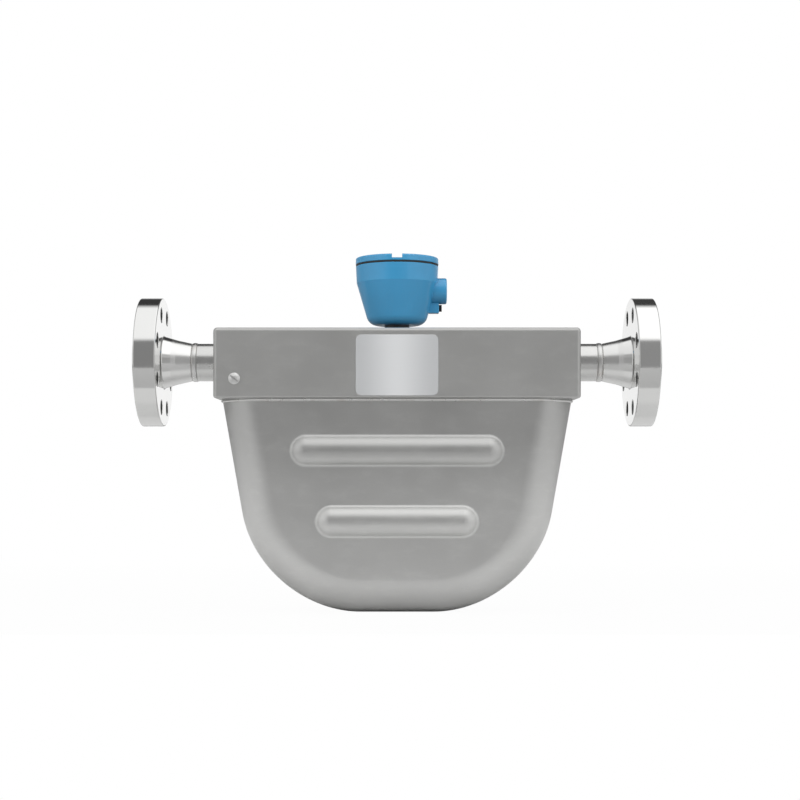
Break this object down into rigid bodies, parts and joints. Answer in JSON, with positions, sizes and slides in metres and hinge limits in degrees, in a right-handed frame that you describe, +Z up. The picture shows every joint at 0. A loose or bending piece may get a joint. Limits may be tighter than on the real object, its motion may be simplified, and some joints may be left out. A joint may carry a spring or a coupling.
{
  "type": "coriolis mass flow meter",
  "caption": "In-line mass flow meter: flanged brace box, ribbed U-shaped tube case below and a round electronics head with screw cover on top.",
  "frame": {"origin": "centre of the inlet flange's raised face, on the pipe axis", "axes": "+X along the pipe from inlet to outlet, +Z up towards the electronics head, -Y towards the side with the nameplate"},
  "size_m": [0.67, 0.171, 0.4531],
  "materials": {
    "polished_steel": "machined and polished stainless steel",
    "cast_steel": "pickled cast stainless steel",
    "tube_steel": "drawn stainless steel",
    "coil_winding": "potted copper winding",
    "magnet_alloy": "nickel-plated magnet",
    "potting": "ceramic-filled potting",
    "lead_sleeve": "fluoropolymer lead sleeve",
    "satin_steel": "glass-bead blasted stainless steel",
    "box_steel": "satin stainless steel",
    "neck_black": "black coated steel",
    "header_steel": "steel header with glass seals",
    "pin_gold": "gold-plated pins",
    "blue_paint": "semi-gloss blue powder paint on cast aluminium",
    "screw_steel": "stainless fastener",
    "potting_can": "potted dark can",
    "terminal_plastic": "moulded terminal body",
    "brass_screw": "brass",
    "black_screw": "black oxide",
    "black_rubber": "moulded seal rubber",
    "plate_aluminium": "bare satin plate"
  },
  "bodies": {
    "meter": {"inlet_flange": "polished_steel", "outlet_flange": "polished_steel", "inlet_manifold": "cast_steel", "outlet_manifold": "cast_steel", "flow_tube_front": "tube_steel", "flow_tube_rear": "tube_steel", "inlet_upper_brace_bar": "tube_steel", "inlet_lower_brace_bar": "tube_steel", "outlet_upper_brace_bar": "tube_steel", "outlet_lower_brace_bar": "tube_steel", "front_tube_brackets": "tube_steel", "rear_tube_brackets": "tube_steel", "drive_coil": "coil_winding", "inlet_pickoff_coil": "coil_winding", "outlet_pickoff_coil": "coil_winding", "drive_magnet": "magnet_alloy", "inlet_pickoff_magnet": "magnet_alloy", "outlet_pickoff_magnet": "magnet_alloy", "temperature_sensor": "potting", "sensor_leads": "lead_sleeve", "case_front": "satin_steel", "case_rear": "satin_steel", "base_plate": "satin_steel", "box_front": "box_steel", "box_rear": "box_steel", "neck": "neck_black", "feedthrough": "header_steel", "feedthrough_pins": "pin_gold", "core_housing": "blue_paint", "housing_screws": "screw_steel", "core_processor": "potting_can", "core_screws": "screw_steel", "terminal_block": "terminal_plastic", "terminal_screws": "screw_steel", "inner_ground_screw": "brass_screw", "outer_ground_screw": "black_screw", "nameplate": "plate_aluminium", "case_ground_screw": "screw_steel"},
    "seal": {"cover_gasket": "black_rubber"},
    "cover": {"cover": "blue_paint"}
  },
  "joints": [
    {"name": "cover_lift", "type": "slide", "parent": "meter", "child": "seal", "axis": [0, 0, 1], "range_m": [0, 0.0131]},
    {"name": "cover_turn", "type": "hinge", "parent": "seal", "child": "cover", "pos_m": [0.335, 0, 0.126], "axis": [0, 0, 1], "range_deg": [0, 2340]}
  ],
  "couplings": [
    {"joint": "cover_lift", "follows": "cover_turn", "m_per_rad": 0.00031831}
  ]
}
